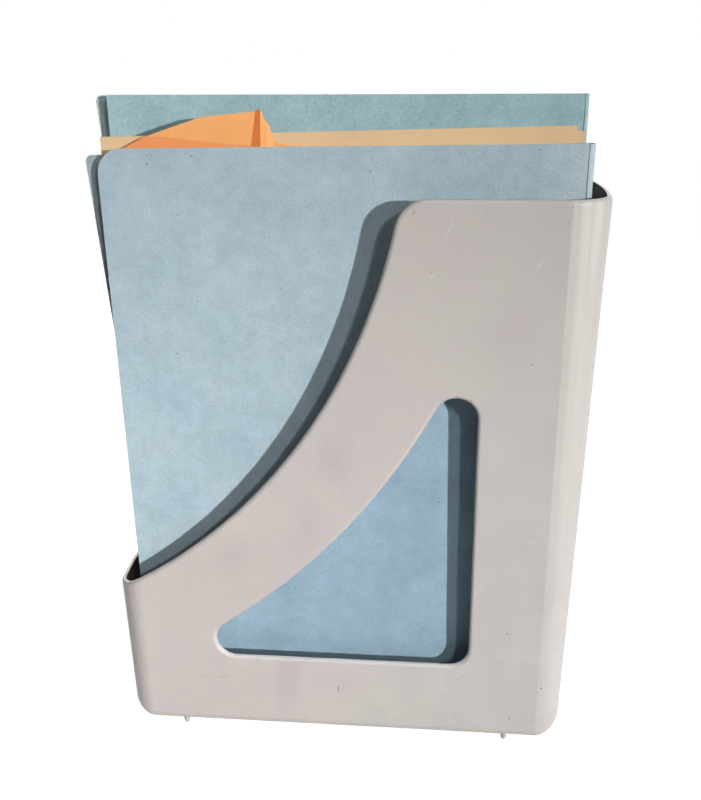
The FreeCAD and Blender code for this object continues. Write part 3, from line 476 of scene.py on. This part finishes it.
def board(name, pale, deep, shift, painted_shade_under_shell=None, painted_strip=None):
    """Dyed folder board: cloudy, mottled pulp with dark flecks and dark and pale fibres."""
    graph = Graph(bpy.data.materials.new(name))
    place = graph.place(shift)
    base = graph.mix(graph.clouds(place, cell=30.0, between=(0.32, 0.68), roughness=0.5), pale, deep)
    # Painted light at the front folder's fold and painted shade where the shell covers it
    if painted_shade_under_shell:
        base = painted_light_and_shade(graph, place, base, painted_shade_under_shell)
    # Painted strip: shade on the front folder's back cover, light on the rear one's
    if painted_strip:
        across = graph.part(graph.place(), "X")
        base = graph.mix(graph.spread(across, PAINTED_STRIP_UP_TO, give=(0.85, 0.0)), base, painted_strip)
    base = graph.shaded(base, mottle(graph, place))
    base = graph.mix(flecks(graph, place), base, FLECK_COLOUR)
    along = graph.stretched(place, scale=(0.45, 0.45, 1.0))
    dark_fibre = graph.noise(along, cell=1.3, detail=4.0, roughness=0.7, distortion=1.0)
    base = graph.mix(graph.spread(dark_fibre, between=(0.4, 0.26), give=(0.0, 0.5)), base, DARK_FIBRE)
    along = graph.stretched(place, scale=(0.3, 0.3, 1.0))
    pale_fibre = graph.noise(along, cell=1.1, detail=3.0, roughness=0.6, distortion=1.6)
    base = graph.mix(graph.spread(pale_fibre, between=(0.68, 0.8), give=(0.0, 0.4)), base, PALE_FIBRE)
    base = graph.mix(graph.edges(radius=0.5, strength=0.5), base, WORN_BOARD)
    fine_relief = graph.noise(place, cell=0.8, detail=4.0, roughness=0.7)
    height = graph.math("ADD", fine_relief, graph.noise(place, cell=5.0, detail=2.0))
    return graph.finish(
        colour=base,
        roughness=graph.clouds(place, cell=2.5, give=(0.78, 0.92)),
        normal=graph.bump(height, distance=0.06, strength=0.5),
        specular=0.25,
        sheen=0.05)


MANILA_CLOUDS = (colour(0.86, 0.615, 0.35), colour(0.8, 0.565, 0.32))
MANILA_FIBRE = colour(0.82, 0.64, 0.42)
FOXING = colour(0.45, 0.27, 0.13)
WORN_MANILA = colour(0.55, 0.36, 0.2)


def manila():
    """Buff envelope paper with faint fibres, foxing and handled edges."""
    graph = Graph(bpy.data.materials.new("manila_looks"))
    place = graph.place()
    base = graph.mix(graph.clouds(place, cell=26.0, detail=4.0), *MANILA_CLOUDS)
    along = graph.stretched(place, scale=(0.25, 0.25, 1.0))
    fibre = graph.clouds(along, cell=1.0, between=(0.35, 0.7), give=(0.0, 0.25), detail=4.0, roughness=0.7)
    base = graph.mix(fibre, base, MANILA_FIBRE)
    flat = graph.stretched(place, THIN_SHEET)
    base = graph.mix(graph.dots(flat, cell=16.0, radius=(0.02, 0.05), strength=0.5), base, FOXING)
    base = graph.mix(graph.edges(radius=0.4, strength=0.45), base, WORN_MANILA)
    height = graph.noise(place, cell=1.2, detail=4.0, roughness=0.7)
    return graph.finish(
        colour=base,
        roughness=graph.clouds(place, cell=6.0, give=(0.62, 0.75)),
        normal=graph.bump(height, distance=0.03, strength=0.5),
        specular=0.3)


# The orange sheet's looks: name and the two shades of its clouds, for the sheet, for the layer folded down
# in front of it and for the facet at its crease, whose darker, redder colour is painted shade
ORANGE_LOOKS = (
    ("orange_paper_looks", colour(1.0, 0.49, 0.175), colour(1.0, 0.46, 0.16)),
    ("orange_front_looks", colour(0.98, 0.35, 0.13), colour(0.96, 0.32, 0.115)),
    ("orange_facet_painted_shade", colour(1.0, 0.24, 0.05), colour(0.98, 0.22, 0.045)),
)
SHEET_FACES = 0
FLAP_FACES = 1
FACET_FACES = 2
ORANGE_FADED = colour(1.0, 0.4, 0.13)
ORANGE_PULP = colour(1.0, 0.56, 0.25)
WORN_ORANGE = colour(0.98, 0.66, 0.4)
ORANGE_CREVICE_SHADE = colour(0.42, 0.13, 0.05)


def orange_paper(name, pale, deep):
    """Bright orange copy paper: even colour, faint pulp clouds, bleached creases, and painted shade where
    its layers lie close.
    """
    graph = Graph(bpy.data.materials.new(name))
    place = graph.place()
    base = graph.mix(graph.clouds(place, cell=9.0, detail=4.0, roughness=0.6), pale, deep)
    faded = graph.clouds(place, cell=24.0, between=(0.4, 0.65), give=(0.0, 0.35))
    base = graph.mix(faded, base, ORANGE_FADED)
    pulp = graph.clouds(place, cell=0.8, between=(0.4, 0.75), give=(0.0, 0.18), detail=4.0, roughness=0.7)
    base = graph.mix(pulp, base, ORANGE_PULP)
    base = graph.mix(graph.edges(radius=0.35, strength=0.6), base, WORN_ORANGE)
    # Painted shade in crevices, where the layers lie close
    crevice_shade = graph.spread(graph.openness(distance=2.0), between=(0.35, 0.85), give=(0.8, 0.0))
    base = graph.mix(crevice_shade, base, ORANGE_CREVICE_SHADE)
    height = graph.noise(place, cell=1.5, detail=4.0, roughness=0.7)
    return graph.finish(
        colour=base,
        roughness=graph.clouds(place, cell=4.0, give=(0.55, 0.68)),
        normal=graph.bump(height, distance=0.03, strength=0.4),
        specular=0.2)


# The orange sheet's creased corner. Each column from the low end gives its x at
# the sheet's top edge and where the front folder hides it, the height of its top,
# and how far it stands forward of the sheet at the top and where it is hidden
SHEET_COLUMNS = (
    (-107.0, -107.0, 311.2, 0.0, 0.0),
    (-102.9, -102.9, 313.2, 0.0, 0.0),
    (-94.2, -94.2, 317.4, 0.0, 0.0),
    (-85.0, -85.0, 320.3, 0.0, 0.0),
    (-76.5, -76.5, 323.0, 0.0, 0.0),
    (-66.4, -67.0, 326.0, 0.1, 0.1),
    (-53.0, -55.0, 327.2, 0.3, 0.2),
    (-41.0, -43.7, 328.2, 0.0, 0.0),
    (-38.4, -38.9, 329.4, 1.0, 1.4),
    (-37.1, -37.2, 325.4, 0.8, 1.1),
    (-35.6, -36.0, 323.2, 0.55, 1.0),
    (-34.5, -34.6, 322.1, 0.3, 0.6),
    (-33.9, -33.7, 319.4, 0.1, 0.3),
    (-32.7, -32.4, 315.1, 0.0, 0.0),
    (-26.2, -26.2, 313.3, 0.0, 0.0),
    (-6.0, -6.0, 312.2, 0.0, 0.0),
    (24.0, 24.0, 311.4, 0.0, 0.0),
    (56.0, 56.0, 310.6, 0.0, 0.0),
    (84.0, 84.0, 309.8, 0.0, 0.0),
    (104.0, 104.0, 309.2, 0.0, 0.0),
)
# The strip between two columns that is the darker facet, with painted shade, counted from the low end
FACET_STRIP = 7
# The sheet's plane (y), its foot, and the height at which the front folder hides it
SHEET_PLANE = -19.4
SHEET_FOOT = 9.0
SHEET_HIDDEN = 313.2
SHEET_THICKNESS = 0.16
# The crease flattens out, and leans towards the low end, from one height to another
CREASE_TOP = SHEET_HIDDEN - 5.0
CREASE_FOOT = 236.0
CREASE_LEAN = 3.0
# Strips of faces down to the front folder's edge, along the crease and below it.
# The first ones also drop by TOP_DROP in all, so that none is flat where the
# sheet's top is lower than that edge.
TOP_STRIPS = 4
CREASE_STRIPS = 6
LOW_STRIPS = 12
TOP_DROP = 0.08
# Ripples of loose paper: height, and length across and upward for each radian.
# They grow to full height over RIPPLE_GROWTH below the front folder's edge.
RIPPLES = ((0.35, 27.0, 41.0), (0.22, 13.0, -63.0))
RIPPLE_GROWTH = 40.0

# The layer that is folded down in front of the sheet: x and height of its slanted
# top edge, and how many of its strips are joined to the sheet
FLAP_COLUMNS = (
    (-107.0, 311.2), (-102.9, 313.2), (-94.6, 317.3), (-80.0, 316.0), (-66.0, 314.7),
    (-51.8, 313.4), (-48.0, 313.1), (-45.0, 312.8), (-43.0, 312.6), (-41.0, 312.5),
    (-39.4, 312.3), (-38.0, 312.2), (-36.5, 312.1), (-35.0, 311.9), (-33.5, 311.8),
    (-32.0, 311.7), (-30.0, 311.5), (0.0, 309.0), (35.0, 306.2), (70.0, 303.2), (103.0, 300.4),
)
FLAP_JOINED_STRIPS = 2
FLAP_FOOT = 252.0
FLAP_STRIPS = 9
# How far it stands forward, how much further it opens towards its foot and between
# which x, how far it keeps in front of the crease, and how far to each side of it
FLAP_FORWARD = 0.55
FLAP_OPENING = 0.5
FLAP_OPENS = (-94.6, -34.6)
FLAP_CLEAR = 0.35
FLAP_DRAPE = 1.5


def blend(first, second, share):
    return first + (second - first) * share


def share_of_way(value, start, end):
    """How far a value is from start to end, from 0 to 1."""
    return min(1.0, max(0.0, (value - start) / (end - start)))


def ripple(x, z):
    """How far loose paper ripples out of its plane."""
    grown = share_of_way(z, SHEET_HIDDEN, SHEET_HIDDEN - RIPPLE_GROWTH)
    return grown * sum(height * math.sin(x / across + z / upward) for height, across, upward in RIPPLES)


def crease_line(z):
    """The sheet at a height below the front folder's edge: each column's x and how far forward."""
    flattened = share_of_way(z, CREASE_TOP, CREASE_FOOT)
    return [(x - CREASE_LEAN * flattened * (forward > 0), forward * (1 - flattened))
            for _top_x, x, _top, _top_forward, forward in SHEET_COLUMNS]


def crease_forward(x, z):
    """How far the sheet stands forward at any place below the front folder's edge."""
    line = crease_line(z)
    for (left, first), (right, second) in zip(line, line[1:]):
        if left <= x <= right:
            return blend(first, second, (x - left) / (right - left))
    return 0.0


def top_row(share):
    """A row of the sheet between its top edge and where the front folder hides it."""
    return [(blend(top_x, x, share),
             SHEET_PLANE - blend(top_forward, forward, share),
             blend(top, min(top, SHEET_HIDDEN), share) - TOP_DROP * share)
            for top_x, x, top, top_forward, forward in SHEET_COLUMNS]


def heights_between(top, foot, strips):
    """The lower edges of strips of equal height."""
    return [blend(top, foot, (step + 1) / strips) for step in range(strips)]


def sheet_rows():
    """Rows of the sheet from its top to its foot, each a list of points."""
    rows = [top_row(step / TOP_STRIPS) for step in range(TOP_STRIPS + 1)]
    heights = heights_between(CREASE_TOP, CREASE_FOOT, CREASE_STRIPS)
    heights += heights_between(CREASE_FOOT, SHEET_FOOT, LOW_STRIPS)
    rows += [[(x, SHEET_PLANE - forward, z) for x, forward in crease_line(z)] for z in heights]
    return [[(x, y + ripple(x, z), z) for x, y, z in row] for row in rows]


def flap_point(x, top, share):
    """A point of the folded layer, share of the way down from its top edge."""
    z = blend(top, FLAP_FOOT, share)
    opened = FLAP_OPENING * share_of_way(x, *FLAP_OPENS) * share
    crease = max(crease_forward(x + aside, z) for aside in (-FLAP_DRAPE, 0.0, FLAP_DRAPE))
    forward = max(FLAP_FORWARD + opened, crease + FLAP_CLEAR)
    return (x, SHEET_PLANE - forward + ripple(x, z), z)


def flap_rows():
    """Rows of the folded layer from its top edge to its foot, each a list of points."""
    return [[flap_point(x, top, step / FLAP_STRIPS) for x, top in FLAP_COLUMNS]
            for step in range(FLAP_STRIPS + 1)]


def add_grid(mesh, rows):
    """Joins rows of points with faces, and gives back the rows of vertices."""
    made = [[mesh.verts.new([value * MM for value in point]) for point in row] for row in rows]
    for upper, lower in zip(made, made[1:]):
        for index in range(len(upper) - 1):
            mesh.faces.new((upper[index], lower[index], lower[index + 1], upper[index + 1]))
    return made


def creased_mesh():
    """The creased sheet and its folded layer as one surface, joined along their shared fold."""
    mesh = bmesh.new()
    sheet = add_grid(mesh, sheet_rows())
    sheet_end = len(mesh.faces)
    flap = add_grid(mesh, flap_rows())
    for index in range(FLAP_JOINED_STRIPS):
        mesh.faces.new((sheet[0][index], sheet[0][index + 1], flap[0][index + 1], flap[0][index]))
    mesh.faces.ensure_lookup_table()
    for number, face in enumerate(mesh.faces):
        face.material_index = FLAP_FACES if number >= sheet_end else SHEET_FACES
    for strip in range(TOP_STRIPS):
        mesh.faces[strip * (len(SHEET_COLUMNS) - 1) + FACET_STRIP].material_index = FACET_FACES
    bmesh.ops.recalc_face_normals(mesh, faces=mesh.faces)
    data = bpy.data.meshes.new("orange_sheet_creased")
    mesh.to_mesh(data)
    mesh.free()
    return data


def add_object(name, data):
    made = bpy.data.objects.new(name, data)
    bpy.context.scene.collection.objects.link(made)
    return made


def add_orange_sheet():
    """The creased orange sheet, in place of the flat one."""
    sheet = add_object("orange_sheet_creased", creased_mesh())
    solid = sheet.modifiers.new("thickness", "SOLIDIFY")
    solid.thickness = SHEET_THICKNESS * MM
    solid.offset = 0.0
    for looks in ORANGE_LOOKS:
        sheet.data.materials.append(orange_paper(*looks))
    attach(sheet, "sheet")
    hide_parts("orange_sheet")


def dress(node, material):
    """Gives a CAD node its material, in each of its slots."""
    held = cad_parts[node]
    if not held.material_slots:
        held.data.materials.append(material)
    for slot in held.material_slots:
        slot.material = material


def dress_folder(end, looks, painted_strip):
    """Gives the front or rear folder its board, with a painted strip where the back cover shows past the
    front one: painted shade on the front folder, painted light on the rear one.
    """
    plain = board(end + "_board_looks", **looks)
    dress(end + "_folder_front_cover", plain)
    dress(end + "_folder_fold_strip", plain)
    dress(end + "_folder_back_cover", board(end + "_back_board_looks", **looks, painted_strip=painted_strip))


def seen_directly(graph):
    """1 for rays from the camera and for what gloss or glass shows, 0 for the light on surfaces."""
    path = graph.add("LightPath").outputs
    seen = graph.math("MAXIMUM", path["Is Camera Ray"], path["Is Glossy Ray"])
    return graph.math("MAXIMUM", seen, path["Is Transmission Ray"])


def add_world():
    """Dim for the light that it gives, white where it is seen."""
    graph = Graph(bpy.data.worlds.new("studio"))
    light = graph.add("Background", {"Color": WORLD_COLOUR, "Strength": WORLD_LEVEL})
    seen = graph.add("Background", {"Color": grey(1.0), "Strength": 1.0})
    both = graph.join("MixShader", light, seen, {"Fac": seen_directly(graph)})
    graph.add("OutputWorld", {"Surface": both.outputs[0]})
    bpy.context.scene.world = graph.owner


def floor_material():
    """Pale floor: plain to the light that it returns, near white where it is seen, with its shadows."""
    graph = Graph(bpy.data.materials.new("floor_looks"))
    place = graph.place()
    speckled = graph.mix(graph.clouds(place, cell=3.0), FLOOR_COLOUR, FLOOR_SPECKLE)
    plain = graph.add("BsdfDiffuse", {"Color": speckled})
    shaded = graph.add("BsdfDiffuse", {"Color": FLOOR_SEEN_COLOUR})
    away = graph.vector_math("LENGTH", place)
    fade = graph.spread(away, FLOOR_FADE, give=(FLOOR_SEEN_GLOW, 1.0))
    glow = graph.add("Emission", {"Color": grey(1.0), "Strength": fade})
    seen = graph.join("AddShader", shaded, glow)
    both = graph.join("MixShader", plain, seen, {"Fac": seen_directly(graph)})
    graph.add("OutputMaterial", {"Surface": both.outputs[0]})
    return graph.owner


def add_floor():
    mesh = bpy.data.meshes.new("floor")
    half = FLOOR_HALF_WIDTH_M
    corners = [(-half, -half, 0), (half, -half, 0), (half, half, 0), (-half, half, 0)]
    mesh.from_pydata(corners, [], [(0, 1, 2, 3)])
    floor = add_object("floor", mesh)
    floor.data.materials.append(floor_material())


def add_lamps():
    """Round area lamps with a beam, whose energy gives each its level where it is aimed."""
    for name, azimuth, elevation, distance, width, beam, level, tint, target in LAMPS:
        turn = math.radians(azimuth)
        rise = math.radians(elevation)
        half = math.radians(beam)
        way = Vector((math.sin(turn) * math.cos(rise), -math.cos(turn) * math.cos(rise), math.sin(rise)))
        data = bpy.data.lights.new(name, "AREA")
        data.shape = "DISK"
        data.size = width
        data.spread = 2 * half
        data.energy = level * math.pi ** 2 * distance ** 2 * (1 - half / math.tan(half))
        data.color = tint
        lamp = add_object(name, data)
        lamp.location = LAMP_CENTRE + way * distance
        lamp.rotation_euler = (target - lamp.location).to_track_quat("-Z", "Y").to_euler()


def camera_turn():
    """The camera's rotation: its columns are its right, its up and its back."""
    ahead = Vector((
        -math.sin(CAMERA_YAW) * math.cos(CAMERA_PITCH),
        math.cos(CAMERA_YAW) * math.cos(CAMERA_PITCH),
        -math.sin(CAMERA_PITCH)))
    level = Vector((math.cos(CAMERA_YAW), math.sin(CAMERA_YAW), 0.0))
    above = level.cross(ahead)
    right = level * math.cos(CAMERA_ROLL) + above * math.sin(CAMERA_ROLL)
    up = above * math.cos(CAMERA_ROLL) - level * math.sin(CAMERA_ROLL)
    return Matrix((right, up, -ahead)).transposed()


def add_camera():
    data = bpy.data.cameras.new("camera")
    data.sensor_width = SENSOR_WIDTH
    data.lens = FOCAL_PIXELS * SENSOR_WIDTH / IMAGE_LONG_SIDE
    data.shift_x = (IMAGE_MIDDLE[0] - VIEW_CENTRE[0]) / IMAGE_LONG_SIDE
    data.shift_y = (VIEW_CENTRE[1] - IMAGE_MIDDLE[1]) / IMAGE_LONG_SIDE
    data.clip_start = CAMERA_NEAR_M
    data.clip_end = CAMERA_FAR_M
    camera = add_object("camera", data)
    camera.matrix_world = Matrix.Translation(Vector(CAMERA_PLACE) * MM) @ camera_turn().to_4x4()
    bpy.context.scene.camera = camera


dress("holder_shell", shell_plastic())
dress_folder("front", FRONT_BOARD, FRONT_STRIP_PAINTED_SHADE)
dress_folder("rear", REAR_BOARD, REAR_STRIP_PAINTED_LIGHT)
dress("manila_envelope", manila())
add_orange_sheet()
add_world()
add_floor()
add_lamps()
add_camera()
bpy.context.scene.view_settings.view_transform = "Standard"
